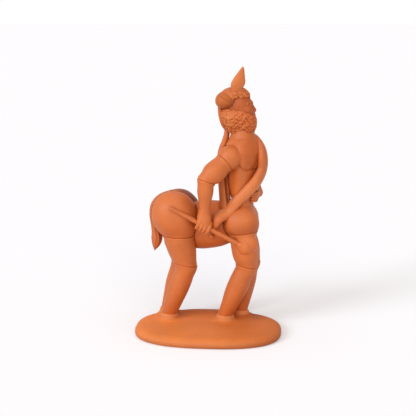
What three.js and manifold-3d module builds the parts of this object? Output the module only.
// A terracotta centaur statuette on an oval plinth, made of separately moulded pieces.
// Millimetres. X runs forward, Y to the figure's left, Z up from the middle of the plinth's underside.
import * as THREE from "three";
import { mergeVertices } from "three/addons/utils/BufferGeometryUtils.js";
import Module from "manifold-3d";

const wasm = await Module();
wasm.setup();

// Fit between touching pieces, and the pegs that set them together.
const FIT = 0.3;
const PEG_RADIUS = 2.2;
const PEG_REACH = 8;
const PEG_SEAT = 3;
const PEG_ROOT = 2;
const BODY_PEG_SPREAD = 8;
const BODY_PEG_INSET = 2;

// Facets: round a ball or limb, along a ball, and round a skin, a band, a peg and a finger.
// A ball whose largest half size is under SMALL_BALL takes fewer.
const ROUND_SIDES = 12;
const BALL_BANDS = 8;
const SKIN_SIDES = 12;
const BAND_SIDES = 8;
const PEG_SIDES = 6;
const FINGER_SIDES = 6;
const SMALL_BALL = 6.5;
const BAND_END_SHARE = 0.55;
const SAME_CORNER = 1e-4;

// Plinth.
const PLINTH_LENGTH = 139;
const PLINTH_WIDTH = 90;
const PLINTH_HEIGHT = 8;
const PLINTH_ROUND = 2.6;
const PLINTH_POWER = 2.55;
const PLINTH_SIDES = 36;

// The figure stands behind the middle of the plinth.
const MIDLINE_Y = 24;
const RIGHT = -1;
const LEFT = 1;

// Legs: heights stack up from the plinth, and the four feet and knees stand at their own places.
const FOOT_HEIGHT = 6;
const FOOT_LENGTH = 17.2;
const FOOT_WIDTH = 15.6;
const FOOT_SPREAD = 8.2;
const KNEE_SPREAD = 10.4;
const SHIN_RISE = 47;
const THIGH_RISE = 27;
const SHIN_ANKLE_RADIUS = 6.7;
const SHIN_CALF_RADIUS = 9.6;
const SHIN_KNEE_RADIUS = 9.3;
const CALF_SHARE = 0.66;
const HIND_THIGH_TOP_RADIUS = 14.2;
const HIND_THIGH_KNEE_RADIUS = 10.6;
const FORE_THIGH_TOP_RADIUS = 13;
const FORE_THIGH_KNEE_RADIUS = 9.7;
const SHIN_SWELL = 0.4;
const THIGH_MIDDLE_SHARE = 0.45;
const LIMB_DOME = 0.55;

const HIND_RIGHT_FOOT_X = -39.7;
const HIND_RIGHT_KNEE_X = -22.6;
const HIND_LEFT_FOOT_X = -42.2;
const HIND_LEFT_KNEE_X = -30;
const FORE_RIGHT_FOOT_X = 16;
const FORE_RIGHT_KNEE_X = 34;
const FORE_LEFT_FOOT_X = 29;
const FORE_LEFT_KNEE_X = 38.5;
const HIND_HIP_FORWARD = 5.5;
const FORE_HIP_FORWARD = 3;

// Rump, front hips and barrel.
const HAUNCH_X = -33;
const HAUNCH_RISE = 24;
const HAUNCH_SPREAD = 11.5;
const HAUNCH_LENGTH = 43;
const HAUNCH_WIDTH = 35;
const HAUNCH_HEIGHT = 45;
const HAUNCH_FOOT_RADIUS = 16;
const HAUNCH_FOOT_RISE = 14;
const LEFT_HAUNCH_DROP = 3.4;
const LEFT_HAUNCH_FORWARD = 2;
const HIP_X = 30;
const HIP_RISE = 14.5;
const HIP_SPREAD = 11.5;
const HIP_LENGTH = 35;
const HIP_WIDTH = 30;
const HIP_HEIGHT = 33;
const HIP_FOOT_RADIUS = 13.6;
const HIP_FOOT_RISE = 9.5;
const SEAT_LAP = 2;
const BARREL_REAR_LAP = 11;
const BARREL_FRONT_LAP = 6;
const BARREL_RISE = 13;
const BARREL_WIDTH = 36;
const BARREL_HEIGHT = 46;
const NUB_RADIUS = 2.1;
const NUB_FORWARD = 6.2;
const NUB_DROP = 7.5;
const NUB_SINK = 0.5;

// Tail: a flattened lock that lies in the cleft of the rump and hangs free below it.
// Its route on the rump is in shares of the rump's half length and half height.
const TAIL_WIDTH = 9;
const TAIL_THICKNESS = 8;
const TAIL_ON_RUMP = [[-0.2, 0.88], [-0.63, 0.64], [-0.9, 0.31], [-0.98, -0.09], [-0.93, -0.62]];
const TAIL_HANG = { forward: 3.2, drop: 24 };
const TAIL_TIP = { forward: 1.4, drop: 40 };
const TAIL_STEPS = 14;
const TAIL_ROOT_SHARE = 0.5;
const TAIL_TIP_SHARE = 0.12;
const TAIL_ROOT_TAPER = 2.4;
const TAIL_TIP_TAPER = 4.2;

// Torso: rings above the hips, each with its lean forward, half width, half depth and turn in degrees.
const TORSO_FORWARD = 3;
const TORSO_Y_SHIFT = -1.3;
const TORSO_RISE = 27.5;
const TORSO_RINGS = [
  { rise: -3, lean: -1, wide: 13, deep: 9.5, turn: 5 },
  { rise: 8, lean: -0.4, wide: 14.6, deep: 11.8, turn: 18 },
  { rise: 19, lean: -1.2, wide: 14.4, deep: 11.4, turn: 30 },
  { rise: 33, lean: -0.6, wide: 15.6, deep: 11.8, turn: 40 },
  { rise: 47, lean: 0.5, wide: 16.8, deep: 12, turn: 45 },
  { rise: 58, lean: 0, wide: 16.4, deep: 11, turn: 45 },
  { rise: 66, lean: -1.2, wide: 12, deep: 9, turn: 45 },
  { rise: 70, lean: -2, wide: 7.5, deep: 6.8, turn: 45 },
];
const CHEST_RISE = 47;
const CHEST_TURN = 45;
const PECTORAL_RADIUS = 9.4;
const PECTORAL_DEPTH = 5.6;
const PECTORAL_SPACING = 7.4;
const PECTORAL_FORWARD = 8.4;
const PECTORAL_BANDS = 6;
const PECTORAL_POLE_SHARE = 0.04;

// Shoulders and arms. Reach runs along the line of the shoulders, out from the chest.
const SHOULDER_RADIUS = 9.6;
const RIGHT_SHOULDER_REACH = 18.6;
const LEFT_SHOULDER_REACH = 15.6;
const RIGHT_SHOULDER_RISE = 54.5;
const LEFT_SHOULDER_RISE = 57;
const UPPER_ARM_RADIUS = 8.8;
const UPPER_ARM_SWELL = 0.4;
const UPPER_ARM_START_SHARE = 0.12;
const ELBOW_RADIUS = 7.4;
const FOREARM_RADIUS = 6.7;
const FOREARM_MIDDLE_SHARE = 0.55;
const WRIST_RADIUS = 4.6;
const RIGHT_ELBOW = { back: 23, out: 12, drop: 22 };
const LEFT_ELBOW = { back: 7, out: 15, drop: 28 };
const LEFT_WRIST = { bearing: -46, rise: 15.5, off: 4.8 };

// Hands.
const PALM_LENGTH = 17;
const PALM_WIDTH = 11.4;
const PALM_THICKNESS = 8.6;
const FINGER_RADIUS = 1.75;
const FINGER_COUNT = 4;
const FINGER_LAP = 0.3;
const GRIP_WRIST = { forward: 0.4, aside: 0.8, rise: 15.5 };
const GRIP_PALM = { share: 0.6, aside: 1.2 };
const GRIP_KNUCKLE = { forward: 0.6, out: 1.2, rise: 3.4 };
const GRIP_FINGERTIP = { back: 0.8, out: 2.4, drop: 3.4 };
const LAID_HAND_DROP = 2;
const LAID_PALM = { bearing: -20, off: 1.2, width: 12.4, height: 13.4 };
const LAID_KNUCKLE = { bearing: -10, off: 0.8 };
const LAID_FINGERTIP = { bearing: 26, off: 0.5, drop: 0.6 };

// Neck and head.
const NECK_RADIUS = 8.6;
const NECK_LENGTH = 16;
const NECK_TAPER = 0.6;
const NECK_BACK = 2;
const NECK_ASIDE = 0.8;
const NECK_SINK = 4;
const NECK_LEAN = 1;
const HEAD_LENGTH = 26.4;
const HEAD_WIDTH = 22;
const HEAD_HEIGHT = 33;
const HEAD_RISE = 30.5;
const HEAD_BACK = 4.4;
const HEAD_ASIDE = 0.4;
const HEAD_TILT = -12;
const NOSE_LENGTH = 8;
const NOSE_WIDTH = 4.4;
const NOSE_DEPTH = 5.6;
const HAIR_THICKNESS = 2.4;
const HAIRLINE_RISE = 8.5;
const HAIR_BACK = 1;
const HAIR_LIFT = 0.6;
const BUN_LENGTH = 16.4;
const BUN_WIDTH = 19;
const BUN_HEIGHT = 12.4;
const BUN_BACK = 14;
const BUN_RISE = 5.4;
const CROWN_LENGTH = 19;
const CROWN_WIDTH = 21;
const CROWN_HEIGHT = 16;
const CROWN_FORWARD = 4.6;
const CROWN_LIFT = 5.6;
const BEARD_LENGTH = 34.4;
const BEARD_WIDTH = 25.5;
const BEARD_HEIGHT = 28;
const BEARD_BACK = 1.4;
const BEARD_DROP = 10;
const BEARD_TOP_DROP = 1.6;
const EAR_HEIGHT = 22.1;
const EAR_WIDTH = 13;
const EAR_THICKNESS = 6;
const EAR_SPREAD = 4.6;
const EAR_LEAN = 3.4;
const EAR_CURVE = 2.4;
const EAR_BACK = 2.6;
const EAR_SINK = 3.5;
const EAR_PROFILE = [[0, 0.8], [0.14, 0.96], [0.3, 1], [0.5, 0.8], [0.7, 0.5], [0.88, 0.22], [1, 0.05]];

// Sash: a band over the left shoulder, with its back run hanging clear of the body.
// Each place on the routes is a height up the torso, a bearing round it and a distance off its skin.
const SASH_WIDTH = 11.6;
const SASH_THICKNESS = 7.4;
const STRAP_WIDTH = 7;
const STRAP_THICKNESS = 5.6;
const STRAP_TOP_SHARE = 0.72;
const STRAP_FOOT_SHARE = 1.12;
const SASH_STEPS = 18;
const STRAP_STEPS = 12;
const SASH_ROUTE = [
  { rise: 69, bearing: -62, off: 2.6 },
  { rise: 62, bearing: -30, off: 2.4 },
  { rise: 51, bearing: -10, off: 2.2 },
  { rise: 41, bearing: 6, off: 2.6 },
  { rise: 31, bearing: 36, off: 2.8 },
  { rise: 21, bearing: 80, off: 2.2 },
  { rise: 11.5, bearing: 118, off: 3 },
  { rise: 3, bearing: 134, off: 8 },
];
const SASH_TURN = { forward: 12, aside: 6, rise: 4.6 };
const SASH_TIP = { forward: 8.4, aside: 5.6, rise: -3.2 };
const STRAP_ROUTE = [
  { rise: 77, bearing: 190, off: 9.6 },
  { rise: 68, bearing: 186, off: 8.8 },
  { rise: 57, bearing: 184, off: 8.6 },
  { rise: 46, bearing: 179, off: 9 },
  { rise: 33, bearing: 172, off: 7.2 },
  { rise: 20, bearing: 161, off: 4.8 },
  { rise: 10, bearing: 148, off: 4.4 },
  { rise: 4, bearing: 138, off: 6.6 },
];

// Club, laid along the right side from the rump to the front thigh.
const CLUB_RADIUS = 1.85;
const CLUB_REAR = { forward: -1, rise: 10 };
const CLUB_SINK = 0.9;
const CLUB_HIP_SINK = 0.5;
const CLUB_FRONT = { forward: 4.5, drop: 17.5 };
const CLUB_GRIP_SHARE = 0.44;
const CLUB_HEAD_LENGTH = 14.4;
const CLUB_HEAD_HEIGHT = 13;
const CLUB_HEAD_THICKNESS = 9;

// Fired clay: one body colour with small differences from piece to piece.
const CLAY = { warm: 0xd4743f, light: 0xdb7d49, deep: 0xc66a36 };
const CLAY_ROUGHNESS = 0.86;

// Heights and middles worked out from the driving dimensions.
const ankleZ = PLINTH_HEIGHT + FOOT_HEIGHT;
const kneeZ = ankleZ + SHIN_RISE;
const hipZ = kneeZ + THIGH_RISE;
const torsoX = HIP_X + TORSO_FORWARD;
const barrelRear = HAUNCH_X - BARREL_REAR_LAP;
const barrelFront = HIP_X + BARREL_FRONT_LAP;
const fingerSpacing = 2 * FINGER_RADIUS - FINGER_LAP;
const FULL_TURN = 2 * Math.PI;

const point = (x, y, z) => new THREE.Vector3(x, y, z);
const between = (from, to, share) => from.clone().lerp(to, share);

// A geometry as a closed solid, with shared corners merged and faces turned outward.
function solid(geometry) {
  geometry.deleteAttribute("normal");
  geometry.deleteAttribute("uv");
  const merged = mergeVertices(geometry, SAME_CORNER);
  const places = merged.getAttribute("position").array;
  const index = Array.from(merged.index.array);
  const corner = (i) => new THREE.Vector3().fromArray(places, 3 * i);
  const triangles = [];
  let volume = 0;
  for (let i = 0; i < index.length; i += 3) {
    const [a, b, c] = index.slice(i, i + 3);
    if (a === b || b === c || c === a) continue;
    triangles.push(a, b, c);
    volume += corner(a).dot(corner(b).cross(corner(c)));
  }
  if (volume < 0) triangles.reverse();
  return new wasm.Manifold(new wasm.Mesh({
    numProp: 3,
    vertProperties: Float32Array.from(places),
    triVerts: Uint32Array.from(triangles),
  }));
}

// A ball stretched to three half sizes, then tilted about the crosswise axis by a number of degrees.
function ball(centre, halfX, halfY, halfZ, grow = 0, tilt = 0) {
  const small = Math.max(halfX, halfY, halfZ) < SMALL_BALL;
  const sides = small ? BAND_SIDES : ROUND_SIDES;
  const bands = small ? FINGER_SIDES : BALL_BANDS;
  const geometry = new THREE.SphereGeometry(1, sides, bands);
  geometry.rotateX(Math.PI / 2);
  geometry.scale(halfX + grow, halfY + grow, halfZ + grow);
  geometry.rotateY(THREE.MathUtils.degToRad(tilt));
  geometry.translate(centre.x, centre.y, centre.z);
  return solid(geometry);
}

// A round limb with domed ends. Each station is a share of the way and a radius.
function limb(from, to, stations, grow = 0, sides = ROUND_SIDES) {
  const length = from.distanceTo(to);
  const profile = [];
  const domeSteps = sides < ROUND_SIDES ? 2 : 3;
  const dome = (radius, height, sign) => Array.from({ length: domeSteps }, (_, i) => {
    const angle = (Math.PI / 2) * (1 - i / domeSteps);
    const bulge = radius * LIMB_DOME * Math.sin(angle);
    return new THREE.Vector2(radius * Math.cos(angle), height + sign * bulge);
  });
  const first = stations[0][1] + grow;
  const last = stations[stations.length - 1][1] + grow;
  profile.push(...dome(first, 0, -1));
  for (const [share, radius] of stations) {
    profile.push(new THREE.Vector2(radius + grow, share * length));
  }
  profile.push(...dome(last, length, 1).reverse());
  const geometry = new THREE.LatheGeometry(profile, sides);
  const direction = to.clone().sub(from).normalize();
  geometry.applyQuaternion(new THREE.Quaternion().setFromUnitVectors(point(0, 1, 0), direction));
  geometry.translate(from.x, from.y, from.z);
  return solid(geometry);
}

// A closed skin over elliptical rings, each with its centre and its two half axes.
function skin(rings, sides = SKIN_SIDES) {
  const places = [];
  const triangles = [];
  for (const { centre, across, deep } of rings) {
    for (let i = 0; i < sides; i++) {
      const angle = (FULL_TURN * i) / sides;
      const place = centre.clone().addScaledVector(across, Math.cos(angle));
      places.push(...place.addScaledVector(deep, Math.sin(angle)).toArray());
    }
  }
  const lastRing = (rings.length - 1) * sides;
  const start = rings.length * sides;
  places.push(...rings[0].centre.toArray(), ...rings[rings.length - 1].centre.toArray());
  for (let i = 0; i < sides; i++) {
    const next = (i + 1) % sides;
    triangles.push(start, next, i);
    triangles.push(start + 1, lastRing + i, lastRing + next);
    for (let ring = 0; ring < lastRing; ring += sides) {
      triangles.push(ring + i, ring + next, ring + sides + i);
      triangles.push(ring + next, ring + sides + next, ring + sides + i);
    }
  }
  const geometry = new THREE.BufferGeometry();
  geometry.setAttribute("position", new THREE.Float32BufferAttribute(places, 3));
  geometry.setIndex(triangles);
  return solid(geometry);
}

// A flat band along a curve. Its thickness points away from the given middle axis.
function band(curve, steps, width, thickness, axis, grow = 0) {
  const rings = [];
  for (let i = 0; i <= steps; i++) {
    const share = i / steps;
    const centre = curve.getPointAt(share);
    const along = curve.getTangentAt(share);
    const outward = centre.clone().sub(point(axis.x, axis.y, centre.z));
    outward.addScaledVector(along, -outward.dot(along)).normalize();
    const across = along.clone().cross(outward);
    const end = Math.min(i, steps - i) === 0 ? BAND_END_SHARE : 1;
    rings.push({
      centre,
      across: across.multiplyScalar(end * (width(share) / 2) + grow),
      deep: outward.multiplyScalar(end * (thickness(share) / 2) + grow),
    });
  }
  return skin(rings, BAND_SIDES);
}

// A box between two corners, used to trim.
function block(low, high) {
  const size = high.clone().sub(low);
  const geometry = new THREE.BoxGeometry(size.x, size.y, size.z);
  const centre = between(low, high, 0.5);
  geometry.translate(centre.x, centre.y, centre.z);
  return solid(geometry);
}

// Plinth: a squarish oval plate with a rounded rim.
function plinth(grow = 0) {
  const outline = [];
  for (let i = 0; i < PLINTH_SIDES; i++) {
    const angle = (FULL_TURN * i) / PLINTH_SIDES;
    const squared = (value) => Math.sign(value) * Math.abs(value) ** (2 / PLINTH_POWER);
    outline.push(new THREE.Vector2(
      (PLINTH_LENGTH / 2 - PLINTH_ROUND) * squared(Math.cos(angle)),
      (PLINTH_WIDTH / 2 - PLINTH_ROUND) * squared(Math.sin(angle)),
    ));
  }
  const geometry = new THREE.ExtrudeGeometry(new THREE.Shape(outline), {
    depth: PLINTH_HEIGHT - 2 * PLINTH_ROUND,
    bevelThickness: PLINTH_ROUND + grow,
    bevelSize: PLINTH_ROUND + grow,
    bevelSegments: 2,
  });
  geometry.translate(0, 0, PLINTH_ROUND);
  return solid(geometry);
}

// Joints of one leg.
function leg(footX, kneeX, hipX, hipSpread, side) {
  return {
    foot: point(footX, MIDLINE_Y + side * FOOT_SPREAD, PLINTH_HEIGHT),
    ankle: point(footX, MIDLINE_Y + side * FOOT_SPREAD, ankleZ),
    knee: point(kneeX, MIDLINE_Y + side * KNEE_SPREAD, kneeZ),
    hip: point(hipX, MIDLINE_Y + side * hipSpread, hipZ),
  };
}

const hindHipX = HAUNCH_X + HIND_HIP_FORWARD;
const foreHipX = HIP_X + FORE_HIP_FORWARD;
const LEGS = {
  hind_right: leg(HIND_RIGHT_FOOT_X, HIND_RIGHT_KNEE_X, hindHipX, HAUNCH_SPREAD, RIGHT),
  hind_left: leg(HIND_LEFT_FOOT_X, HIND_LEFT_KNEE_X, hindHipX, HAUNCH_SPREAD, LEFT),
  fore_right: leg(FORE_RIGHT_FOOT_X, FORE_RIGHT_KNEE_X, foreHipX, HIP_SPREAD, RIGHT),
  fore_left: leg(FORE_LEFT_FOOT_X, FORE_LEFT_KNEE_X, foreHipX, HIP_SPREAD, LEFT),
};

function foot({ foot: centre }, grow = 0) {
  return ball(centre, FOOT_LENGTH / 2, FOOT_WIDTH / 2, FOOT_HEIGHT, grow);
}

function shin({ ankle, knee }, grow = 0) {
  const stations = [
    [0, SHIN_ANKLE_RADIUS],
    [CALF_SHARE / 2, (SHIN_ANKLE_RADIUS + SHIN_CALF_RADIUS) / 2 + SHIN_SWELL],
    [CALF_SHARE, SHIN_CALF_RADIUS],
    [1, SHIN_KNEE_RADIUS],
  ];
  return limb(ankle, knee, stations, grow);
}

function thigh({ knee, hip }, kneeRadius, topRadius, grow = 0) {
  const middle = [THIGH_MIDDLE_SHARE, (kneeRadius + topRadius) / 2];
  const stations = [[0, kneeRadius], middle, [1, topRadius]];
  return limb(knee, hip, stations, grow);
}

// The half of space on one side of the midline, kept clear of the other half by the fit.
function sideOnly(whole, side) {
  const reach = PLINTH_LENGTH;
  const edge = MIDLINE_Y + (side * FIT) / 2;
  const other = edge - side * reach;
  const low = point(-reach, Math.min(edge, other), 0);
  const high = point(reach, Math.max(edge, other), 3 * reach);
  return whole.subtract(block(low, high));
}

function haunchCentre(side) {
  const centre = point(HAUNCH_X, MIDLINE_Y + side * HAUNCH_SPREAD, hipZ + HAUNCH_RISE);
  return side === LEFT ? centre.add(point(LEFT_HAUNCH_FORWARD, 0, -LEFT_HAUNCH_DROP)) : centre;
}

function haunch(side, grow = 0) {
  const centre = haunchCentre(side);
  const lobe = ball(centre, HAUNCH_LENGTH / 2, HAUNCH_WIDTH / 2, HAUNCH_HEIGHT / 2, grow);
  const seat = point(hindHipX, centre.y, hipZ + HAUNCH_FOOT_RISE);
  const lower = ball(seat, HAUNCH_FOOT_RADIUS, HAUNCH_FOOT_RADIUS, HAUNCH_FOOT_RISE + SEAT_LAP, grow);
  return sideOnly(lobe.add(lower), side);
}

const hipCentre = (side) => point(HIP_X, MIDLINE_Y + side * HIP_SPREAD, hipZ + HIP_RISE);

function hip(side, grow = 0) {
  const centre = hipCentre(side);
  const lobe = ball(centre, HIP_LENGTH / 2, HIP_WIDTH / 2, HIP_HEIGHT / 2, grow);
  const seat = point(foreHipX, centre.y, hipZ + HIP_FOOT_RISE);
  const lower = ball(seat, HIP_FOOT_RADIUS, HIP_FOOT_RADIUS, HIP_FOOT_RISE + SEAT_LAP, grow);
  return sideOnly(lobe.add(lower), side);
}

const barrelCentre = point((barrelRear + barrelFront) / 2, MIDLINE_Y, hipZ + BARREL_RISE);

function barrel(grow = 0) {
  const halfLength = (barrelFront - barrelRear) / 2;
  const body = ball(barrelCentre, halfLength, BARREL_WIDTH / 2, BARREL_HEIGHT / 2, grow);
  const nubPlace = barrelCentre.clone().add(point(NUB_FORWARD, NUB_SINK - BARREL_WIDTH / 2, -NUB_DROP));
  const nub = ball(nubPlace, NUB_RADIUS, NUB_RADIUS, NUB_RADIUS, grow);
  const farLow = point(-PLINTH_LENGTH, -PLINTH_LENGTH, 0);
  const behind = block(farLow, point(HAUNCH_X, PLINTH_LENGTH, 2 * PLINTH_LENGTH));
  return body.add(nub).subtract(behind);
}

// Tail: down the back of the rump, then free to a point.
function tail(grow = 0) {
  const middle = haunchCentre(RIGHT).setY(MIDLINE_Y);
  const onRump = ([along, up]) => (
    middle.clone().add(point((along * HAUNCH_LENGTH) / 2, 0, (up * HAUNCH_HEIGHT) / 2))
  );
  const hanging = ({ forward, drop }) => middle.clone().add(point(forward - HAUNCH_LENGTH / 2, 0, -drop));
  const curve = new THREE.CatmullRomCurve3([
    ...TAIL_ON_RUMP.map(onRump),
    hanging(TAIL_HANG),
    hanging(TAIL_TIP),
  ]);
  const taper = (share) => Math.min(
    1,
    TAIL_ROOT_SHARE + TAIL_ROOT_TAPER * share,
    TAIL_TIP_SHARE + TAIL_TIP_TAPER * (1 - share),
  );
  const width = (share) => TAIL_WIDTH * taper(share);
  const thickness = (share) => TAIL_THICKNESS * taper(share);
  return band(curve, TAIL_STEPS, width, thickness, barrelCentre, grow);
}

// Torso frame: the middle of each ring, the way the chest faces and the way to the figure's right.
const torsoFoot = point(torsoX, MIDLINE_Y + TORSO_Y_SHIFT, hipZ + TORSO_RISE);
const facing = (turn) => {
  const angle = THREE.MathUtils.degToRad(turn);
  return point(Math.cos(angle), -Math.sin(angle), 0);
};
const rightward = (turn) => facing(turn + 90);
const chestCentre = torsoFoot.clone().add(point(0, 0, CHEST_RISE));

function torso(grow = 0) {
  const last = TORSO_RINGS.length - 1;
  const rings = TORSO_RINGS.map(({ rise, lean, wide, deep, turn }, i) => ({
    centre: torsoFoot.clone().add(point(lean, 0, rise + (i === last ? grow : 0))),
    across: rightward(turn).multiplyScalar(wide + grow),
    deep: facing(turn).multiplyScalar(deep + grow),
  }));
  let whole = skin(rings);
  for (const side of [RIGHT, LEFT]) whole = whole.add(pectoral(side, grow));
  return whole;
}

function pectoral(side, grow) {
  const centre = chestCentre.clone();
  centre.addScaledVector(facing(CHEST_TURN), PECTORAL_FORWARD);
  centre.addScaledVector(rightward(CHEST_TURN), -side * PECTORAL_SPACING);
  const across = rightward(CHEST_TURN);
  const rings = [];
  for (let i = 0; i <= PECTORAL_BANDS; i++) {
    const share = THREE.MathUtils.lerp(PECTORAL_POLE_SHARE, 1 - PECTORAL_POLE_SHARE, i / PECTORAL_BANDS);
    const angle = Math.PI * (share - 0.5);
    const girth = Math.cos(angle);
    rings.push({
      centre: centre.clone().add(point(0, 0, (PECTORAL_RADIUS + grow) * Math.sin(angle))),
      across: across.clone().multiplyScalar((PECTORAL_RADIUS + grow) * girth),
      deep: facing(CHEST_TURN).multiplyScalar((PECTORAL_DEPTH + grow) * girth),
    });
  }
  return skin(rings);
}

// The torso's reach from its middle at a height, along a bearing counted from forward to the right.
function torsoReach(rise, bearing) {
  const above = TORSO_RINGS.findIndex((ring) => ring.rise >= rise);
  const upper = TORSO_RINGS[above < 0 ? TORSO_RINGS.length - 1 : Math.max(above, 1)];
  const lower = TORSO_RINGS[TORSO_RINGS.indexOf(upper) - 1];
  const share = THREE.MathUtils.clamp((rise - lower.rise) / (upper.rise - lower.rise), 0, 1);
  const mix = (key) => THREE.MathUtils.lerp(lower[key], upper[key], share);
  const angle = THREE.MathUtils.degToRad(bearing - mix("turn"));
  return 1 / Math.hypot(Math.cos(angle) / mix("deep"), Math.sin(angle) / mix("wide"));
}

// A place beside the torso: height above its foot, bearing, and distance off its skin.
function besideTorso(rise, bearing, off) {
  const place = torsoFoot.clone().add(point(0, 0, rise));
  return place.addScaledVector(facing(bearing), torsoReach(rise, bearing) + off);
}

// Arms.
function shoulderCentre(side) {
  const rise = side === RIGHT ? RIGHT_SHOULDER_RISE : LEFT_SHOULDER_RISE;
  const reach = side === RIGHT ? RIGHT_SHOULDER_REACH : LEFT_SHOULDER_REACH;
  const centre = torsoFoot.clone().add(point(0, 0, rise));
  return centre.addScaledVector(rightward(CHEST_TURN), -side * reach);
}

const elbowOf = (side, { back, out, drop }) => shoulderCentre(side).add(point(-back, side * out, -drop));
const rightElbow = elbowOf(RIGHT, RIGHT_ELBOW);
const leftElbow = elbowOf(LEFT, LEFT_ELBOW);
const leftWrist = besideTorso(LEFT_WRIST.rise, LEFT_WRIST.bearing, LEFT_WRIST.off);

function shoulder(side, grow = 0) {
  return ball(shoulderCentre(side), SHOULDER_RADIUS, SHOULDER_RADIUS, SHOULDER_RADIUS, grow);
}

function upperArm(side, grow = 0) {
  const elbow = side === RIGHT ? rightElbow : leftElbow;
  const start = between(shoulderCentre(side), elbow, UPPER_ARM_START_SHARE);
  const middle = [0.5, UPPER_ARM_RADIUS + UPPER_ARM_SWELL];
  return limb(start, elbow, [[0, UPPER_ARM_RADIUS], middle, [1, ELBOW_RADIUS]], grow);
}

// Club: a straight shaft from the rump's side to the front thigh's side.
function rumpSide(x, z) {
  const centre = haunchCentre(RIGHT);
  const along = (x - centre.x) / (HAUNCH_LENGTH / 2);
  const up = (z - centre.z) / (HAUNCH_HEIGHT / 2);
  return centre.y - (HAUNCH_WIDTH / 2) * Math.sqrt(Math.max(0, 1 - along ** 2 - up ** 2));
}

const clubRear = point(HAUNCH_X + CLUB_REAR.forward, 0, hipZ + HAUNCH_RISE + CLUB_REAR.rise);
clubRear.y = rumpSide(clubRear.x, clubRear.z) - CLUB_RADIUS + CLUB_SINK;
const clubFront = hipCentre(RIGHT);
clubFront.add(point(CLUB_FRONT.forward, CLUB_HIP_SINK - FORE_THIGH_TOP_RADIUS, -CLUB_FRONT.drop));
const clubGrip = between(clubRear, clubFront, CLUB_GRIP_SHARE);
const clubLine = clubFront.clone().sub(clubRear).normalize();
const beside = (place, { forward, aside, rise }) => place.clone().add(point(forward, aside, rise));
const rightWrist = beside(clubGrip, GRIP_WRIST);

function clubShaft(grow = 0) {
  return limb(clubRear, clubFront, [[0, CLUB_RADIUS], [1, CLUB_RADIUS]], grow);
}

function clubHead(grow = 0) {
  return ball(clubFront, CLUB_HEAD_LENGTH / 2, CLUB_HEAD_THICKNESS / 2, CLUB_HEAD_HEIGHT / 2, grow);
}

function forearm(side, grow = 0) {
  const elbow = side === RIGHT ? rightElbow : leftElbow;
  const wrist = side === RIGHT ? rightWrist : leftWrist;
  const middle = [FOREARM_MIDDLE_SHARE, FOREARM_RADIUS];
  return limb(wrist, elbow, [[0, WRIST_RADIUS], middle, [1, ELBOW_RADIUS]], grow);
}

function finger(from, to, grow) {
  return limb(from, to, [[0, FINGER_RADIUS], [1, FINGER_RADIUS]], grow, FINGER_SIDES);
}

// A finger's place in its row, counted from the middle of the hand.
const fingerOffset = (i) => (i - (FINGER_COUNT - 1) / 2) * fingerSpacing;

// Right hand: a palm behind the shaft, with fingers bent round the near side of it.
function rightHand(grow = 0) {
  const palm = between(rightWrist, clubGrip, GRIP_PALM.share).add(point(0, GRIP_PALM.aside, 0));
  let hand = ball(palm, PALM_WIDTH / 2, PALM_THICKNESS / 2, PALM_LENGTH / 2, grow);
  for (let i = 0; i < FINGER_COUNT; i++) {
    const place = clubGrip.clone().addScaledVector(clubLine, fingerOffset(i));
    const knuckle = point(GRIP_KNUCKLE.forward, -GRIP_KNUCKLE.out, GRIP_KNUCKLE.rise).add(place);
    const tip = point(-GRIP_FINGERTIP.back, -GRIP_FINGERTIP.out, -GRIP_FINGERTIP.drop).add(place);
    hand = hand.add(finger(knuckle, tip, grow));
  }
  return hand;
}

// Left hand: laid flat on the waist with four stacked fingers.
function leftHand(grow = 0) {
  const rise = LEFT_WRIST.rise - LAID_HAND_DROP;
  const palm = besideTorso(rise, LAID_PALM.bearing, LAID_PALM.off);
  let hand = ball(palm, PALM_THICKNESS / 2, LAID_PALM.width / 2, LAID_PALM.height / 2, grow);
  for (let i = 0; i < FINGER_COUNT; i++) {
    const level = rise + fingerOffset(i);
    const knuckle = besideTorso(level, LAID_KNUCKLE.bearing, LAID_KNUCKLE.off);
    const tip = besideTorso(level - LAID_FINGERTIP.drop, LAID_FINGERTIP.bearing, LAID_FINGERTIP.off);
    hand = hand.add(finger(knuckle, tip, grow));
  }
  return hand;
}

// Neck and head.
const torsoTop = TORSO_RINGS[TORSO_RINGS.length - 1].rise;
const neckFoot = torsoFoot.clone().add(point(-NECK_BACK, NECK_ASIDE, torsoTop - NECK_SINK));
const headCentre = neckFoot.clone().add(point(-HEAD_BACK, HEAD_ASIDE, HEAD_RISE));
const headTurn = new THREE.Euler(0, THREE.MathUtils.degToRad(HEAD_TILT), 0);
const inHead = (x, y, z) => point(x, y, z).applyEuler(headTurn).add(headCentre);

function neck(grow = 0) {
  const top = neckFoot.clone().add(point(-NECK_LEAN, 0, NECK_LENGTH));
  return limb(neckFoot, top, [[0, NECK_RADIUS], [1, NECK_RADIUS - NECK_TAPER]], grow);
}

function head(grow = 0) {
  const skull = ball(headCentre, HEAD_LENGTH / 2, HEAD_WIDTH / 2, HEAD_HEIGHT / 2, grow, HEAD_TILT);
  const nosePlace = inHead(HEAD_LENGTH / 2, 0, -NOSE_LENGTH / 2);
  const nose = ball(nosePlace, NOSE_DEPTH / 2, NOSE_WIDTH / 2, NOSE_LENGTH / 2, grow, HEAD_TILT);
  return skull.add(nose);
}

// A box that covers everything above or below a height, within reach of the head.
function headTrim(fromZ, toZ) {
  const reach = 2 * HEAD_HEIGHT;
  const low = point(headCentre.x - reach, headCentre.y - reach, headCentre.z + fromZ);
  const high = point(headCentre.x + reach, headCentre.y + reach, headCentre.z + toZ);
  return block(low, high);
}

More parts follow.
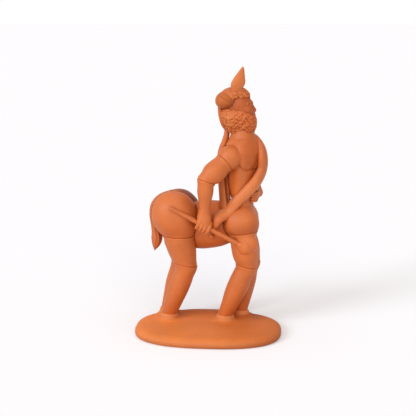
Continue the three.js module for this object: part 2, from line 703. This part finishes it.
function hair(grow = 0) {
  const halves = [HEAD_LENGTH, HEAD_WIDTH, HEAD_HEIGHT].map((size) => size / 2 + HAIR_THICKNESS);
  const cap = ball(inHead(-HAIR_BACK, 0, HAIR_LIFT), ...halves, grow, HEAD_TILT);
  return cap.subtract(headTrim(-2 * HEAD_HEIGHT, HAIRLINE_RISE - grow));
}

// Hair roll: a smooth crown lobe with a rolled edge below it.
function hairBun(grow = 0) {
  const lower = headCentre.clone().add(point(-BUN_BACK, 0, BUN_RISE));
  const upper = lower.clone().add(point(CROWN_FORWARD, 0, CROWN_LIFT));
  const roll = ball(lower, BUN_LENGTH / 2, BUN_WIDTH / 2, BUN_HEIGHT / 2, grow);
  return roll.add(ball(upper, CROWN_LENGTH / 2, CROWN_WIDTH / 2, CROWN_HEIGHT / 2, grow));
}

function beard(grow = 0) {
  const centre = headCentre.clone().add(point(-BEARD_BACK, 0, -BEARD_DROP));
  const curls = ball(centre, BEARD_LENGTH / 2, BEARD_WIDTH / 2, BEARD_HEIGHT / 2, grow);
  return curls.subtract(headTrim(-BEARD_TOP_DROP + grow, 2 * HEAD_HEIGHT));
}

// An ear: a pointed leaf that leans forward.
function ear(side, grow = 0) {
  const rise = HEAD_HEIGHT / 2 + HAIR_THICKNESS - EAR_SINK;
  const root = headCentre.clone().add(point(-EAR_BACK, side * EAR_SPREAD, rise));
  const rings = EAR_PROFILE.map(([share, girth]) => ({
    centre: root.clone().add(point(EAR_LEAN * share + EAR_CURVE * share ** 2, 0, EAR_HEIGHT * share)),
    across: point(girth * (EAR_WIDTH / 2) + grow, 0, 0),
    deep: point(0, girth * (EAR_THICKNESS / 2) + grow, 0),
  }));
  return skin(rings, BAND_SIDES);
}

const roundTorso = ({ rise, bearing, off }) => besideTorso(rise, bearing, off);

// Sash: over the left shoulder, across the chest and belly, down to the right hand.
function sashFront(grow = 0) {
  const curve = new THREE.CatmullRomCurve3([
    ...SASH_ROUTE.map(roundTorso),
    beside(clubGrip, SASH_TURN),
    beside(clubGrip, SASH_TIP),
  ]);
  return band(curve, SASH_STEPS, () => SASH_WIDTH, () => SASH_THICKNESS, torsoFoot, grow);
}

function sashBack(grow = 0) {
  const curve = new THREE.CatmullRomCurve3(STRAP_ROUTE.map(roundTorso));
  const width = (share) => STRAP_WIDTH * THREE.MathUtils.lerp(STRAP_TOP_SHARE, STRAP_FOOT_SHARE, share);
  return band(curve, STRAP_STEPS, width, () => STRAP_THICKNESS, torsoFoot, grow);
}

// Pieces in order of seating: each is trimmed by the ones before it.
const MOULDS = [
  ["base_plinth", plinth, CLAY.warm],
  ["club_shaft", clubShaft, CLAY.light],
  ["haunch_right", (grow) => haunch(RIGHT, grow), CLAY.warm],
  ["haunch_left", (grow) => haunch(LEFT, grow), CLAY.warm],
  ["hip_right", (grow) => hip(RIGHT, grow), CLAY.warm],
  ["hip_left", (grow) => hip(LEFT, grow), CLAY.warm],
  ["barrel", barrel, CLAY.deep],
  ...Object.entries(LEGS).map(([name, joints]) => {
    const hind = name.startsWith("hind");
    const kneeRadius = hind ? HIND_THIGH_KNEE_RADIUS : FORE_THIGH_KNEE_RADIUS;
    const topRadius = hind ? HIND_THIGH_TOP_RADIUS : FORE_THIGH_TOP_RADIUS;
    const mould = (grow) => thigh(joints, kneeRadius, topRadius, grow);
    return [name.replace("_", "_thigh_"), mould, CLAY.warm];
  }),
  ...Object.entries(LEGS).map(([name, joints]) => (
    [name.replace("_", "_shin_"), (grow) => shin(joints, grow), CLAY.light]
  )),
  ...Object.entries(LEGS).map(([name, joints]) => (
    [name.replace("_", "_foot_"), (grow) => foot(joints, grow), CLAY.warm]
  )),
  ["tail", tail, CLAY.light],
  ["shoulder_right", (grow) => shoulder(RIGHT, grow), CLAY.warm],
  ["shoulder_left", (grow) => shoulder(LEFT, grow), CLAY.warm],
  ["torso", torso, CLAY.deep],
  ["head", head, CLAY.warm],
  ["neck", neck, CLAY.deep],
  ["upper_arm_right", (grow) => upperArm(RIGHT, grow), CLAY.light],
  ["upper_arm_left", (grow) => upperArm(LEFT, grow), CLAY.light],
  ["forearm_right", (grow) => forearm(RIGHT, grow), CLAY.light],
  ["forearm_left", (grow) => forearm(LEFT, grow), CLAY.light],
  ["hand_right", rightHand, CLAY.light],
  ["club_head", clubHead, CLAY.warm],
  ["sash_front", sashFront, CLAY.light],
  ["sash_back", sashBack, CLAY.warm],
  ["hand_left", leftHand, CLAY.warm],
  ["hair", hair, CLAY.warm],
  ["hair_bun", hairBun, CLAY.light],
  ["beard", beard, CLAY.warm],
  ["ear_right", (grow) => ear(RIGHT, grow), CLAY.warm],
  ["ear_left", (grow) => ear(LEFT, grow), CLAY.warm],
];

function boxesMeet(a, b) {
  const first = a.boundingBox();
  const second = b.boundingBox();
  return [0, 1, 2].every((i) => first.min[i] <= second.max[i] && second.min[i] <= first.max[i]);
}

// Trimming can leave crumbs beside a piece: only its main body is kept.
function mainBody(trimmed) {
  return trimmed.decompose().sort((a, b) => b.volume() - a.volume())[0];
}

const pieces = new Map();
const seated = [];
for (const [name, mould] of MOULDS) {
  let piece = mould(0);
  for (const neighbour of seated) {
    if (boxesMeet(piece, neighbour)) piece = piece.subtract(neighbour);
  }
  pieces.set(name, mainBody(piece));
  seated.push(mould(FIT));
}

// A peg on one piece, seated in a socket through or into the pieces that hold it.
function setPeg(name, holders, from, to) {
  const direction = to.clone().sub(from).normalize();
  const rod = (radius, extra) => {
    const length = from.distanceTo(to) + extra;
    const geometry = new THREE.CylinderGeometry(radius, radius, length, PEG_SIDES);
    geometry.translate(0, length / 2, 0);
    geometry.applyQuaternion(new THREE.Quaternion().setFromUnitVectors(point(0, 1, 0), direction));
    geometry.translate(from.x, from.y, from.z);
    return solid(geometry);
  };
  pieces.set(name, pieces.get(name).add(rod(PEG_RADIUS, 0)));
  for (const holder of holders) {
    pieces.set(holder, mainBody(pieces.get(holder).subtract(rod(PEG_RADIUS + FIT, FIT))));
  }
}

const step = (from, to, length) => from.clone().addScaledVector(to.clone().sub(from).normalize(), length);
const lifted = (place, rise) => place.clone().add(point(0, 0, rise));

// Legs: a shin's peg runs through its foot into the plinth, and each knee and hip has one.
for (const [name, { ankle, knee, hip: top }] of Object.entries(LEGS)) {
  const [end, side] = name.split("_");
  const shinName = `${end}_shin_${side}`;
  const thighName = `${end}_thigh_${side}`;
  const holder = end === "hind" ? `haunch_${side}` : `hip_${side}`;
  const plinthEnd = lifted(ankle, PEG_SEAT - ankleZ);
  setPeg(shinName, [`${end}_foot_${side}`, "base_plinth"], lifted(ankle, PEG_ROOT), plinthEnd);
  setPeg(shinName, [thighName], step(knee, top, -PEG_REACH), step(knee, top, PEG_REACH));
  setPeg(thighName, [holder], lifted(top, -PEG_REACH), lifted(top, PEG_REACH));
}

// Body: the barrel is pegged into both haunches and both hips, and the torso into the hips.
for (const [side, name] of [[RIGHT, "right"], [LEFT, "left"]]) {
  const row = (x, z) => point(x, MIDLINE_Y + side * BODY_PEG_SPREAD, z);
  const level = barrelCentre.z;
  const rear = HAUNCH_X + HAUNCH_LENGTH / 2 - BODY_PEG_INSET;
  const front = HIP_X - HIP_LENGTH / 2;
  const hipTop = hipCentre(side).z + HIP_HEIGHT / 2;
  setPeg("barrel", [`haunch_${name}`], row(rear + PEG_REACH, level), row(rear - PEG_REACH, level));
  setPeg("barrel", [`hip_${name}`], row(front - PEG_REACH, level), row(front + PEG_REACH, level));
  setPeg("torso", [`hip_${name}`], row(HIP_X, hipTop + PEG_REACH), row(HIP_X, hipTop - PEG_REACH));
}

// Neck: one peg down into the torso and one up into the head.
const neckBase = lifted(torsoFoot, torsoTop).setX(neckFoot.x);
const headBase = lifted(headCentre, -HEAD_HEIGHT / 2);
setPeg("neck", ["torso"], lifted(neckBase, PEG_REACH / 2), lifted(neckBase, -PEG_REACH));
setPeg("neck", ["head"], lifted(headBase, -PEG_SEAT), lifted(headBase, PEG_REACH));

// Arms: pegs at the shoulder's inner and outer sides and at the elbow.
const ARMS = [
  { side: RIGHT, name: "right", elbow: rightElbow, wrist: rightWrist },
  { side: LEFT, name: "left", elbow: leftElbow, wrist: leftWrist },
];
for (const { side, name, elbow, wrist } of ARMS) {
  const socket = shoulderCentre(side);
  const inward = torsoFoot.clone().setZ(socket.z);
  const innerEnd = step(socket, inward, SHOULDER_RADIUS + PEG_REACH / 2);
  const armRoot = step(socket, elbow, SHOULDER_RADIUS + PEG_REACH);
  const elbowRoot = step(elbow, wrist, PEG_REACH + PEG_SEAT);
  setPeg(`shoulder_${name}`, ["torso"], step(socket, inward, PEG_ROOT), innerEnd);
  setPeg(`upper_arm_${name}`, [`shoulder_${name}`], armRoot, step(socket, elbow, PEG_SEAT));
  setPeg(`forearm_${name}`, [`upper_arm_${name}`], elbowRoot, step(elbow, wrist, -PEG_ROOT));
}

function material(colour) {
  return new THREE.MeshStandardMaterial({ color: colour, roughness: CLAY_ROUGHNESS, metalness: 0 });
}

const statuette = new THREE.Group();
for (const [name, , colour] of MOULDS) {
  const { vertProperties, triVerts } = pieces.get(name).getMesh();
  const geometry = new THREE.BufferGeometry();
  geometry.setAttribute("position", new THREE.BufferAttribute(Float32Array.from(vertProperties), 3));
  geometry.setIndex(Array.from(triVerts));
  geometry.computeVertexNormals();
  const mesh = new THREE.Mesh(geometry, material(colour));
  mesh.name = name;
  statuette.add(mesh);
}

export default statuette;
